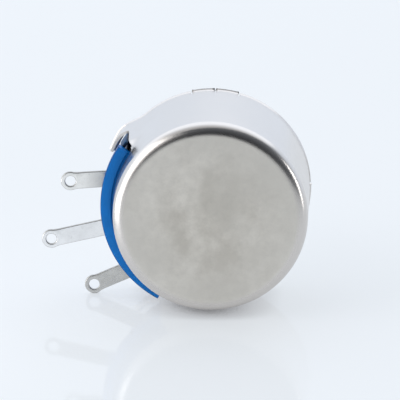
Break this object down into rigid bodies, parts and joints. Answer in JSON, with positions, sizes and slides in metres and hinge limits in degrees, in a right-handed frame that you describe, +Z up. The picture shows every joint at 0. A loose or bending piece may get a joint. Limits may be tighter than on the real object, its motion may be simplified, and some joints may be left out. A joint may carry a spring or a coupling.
{
  "type": "wirewound potentiometer",
  "caption": "Round single-turn wirewound potentiometer with a drawn metal can, a moulded terminal base, solder lugs, a threaded bushing and a slotted shaft.",
  "frame": {"origin": "centre of the mounting face, on the shaft's axis", "axes": "+Y along the shaft, out of its free end; +Z up as the pot lies on its side; -X towards the solder lugs"},
  "size_m": [0.0306, 0.0326, 0.023],
  "materials": {
    "can_metal": "satin drawn nickel-plated steel",
    "plate_metal": "satin nickel-plated pressed steel",
    "bushing_metal": "nickel-plated brass",
    "base_plastic": "semi-gloss blue moulding",
    "insulator": "matte pressed fibre",
    "card": "matte bent card",
    "resistance_wire": "bare resistance wire",
    "clip_metal": "plain brass sheet",
    "terminal_metal": "tinned brass",
    "rivet_metal": "plain brass",
    "collector_metal": "polished brass",
    "shaft_metal": "turned, satin",
    "ring_metal": "spring steel",
    "washer_fibre": "matte fibre",
    "rotor_phenolic": "matte moulded phenolic",
    "spring_metal": "spring bronze",
    "contact_metal": "silver graphite"
  },
  "bodies": {
    "body": {"rear_cover": "can_metal", "front_plate": "plate_metal", "bushing": "bushing_metal", "terminal_base": "base_plastic", "insulating_disc": "insulator", "winding_former": "card", "resistance_winding": "resistance_wire", "end_clip_upper": "clip_metal", "end_clip_lower": "clip_metal", "terminal_upper": "terminal_metal", "terminal_middle": "terminal_metal", "terminal_lower": "terminal_metal", "terminal_rivets": "rivet_metal", "collector_ring": "collector_metal"},
    "rotor": {"shaft": "shaft_metal", "retaining_ring": "ring_metal", "thrust_washer": "washer_fibre", "rotor_disc": "rotor_phenolic", "wiper_arm": "spring_metal", "wiper_contact": "contact_metal", "collector_spring": "spring_metal", "wiper_rivets": "rivet_metal"}
  },
  "joints": [
    {"name": "shaft_turn", "type": "hinge", "parent": "body", "child": "rotor", "pos_m": [0, 0, 0], "axis": [0, 1, 0], "range_deg": [-130, 130]}
  ]
}
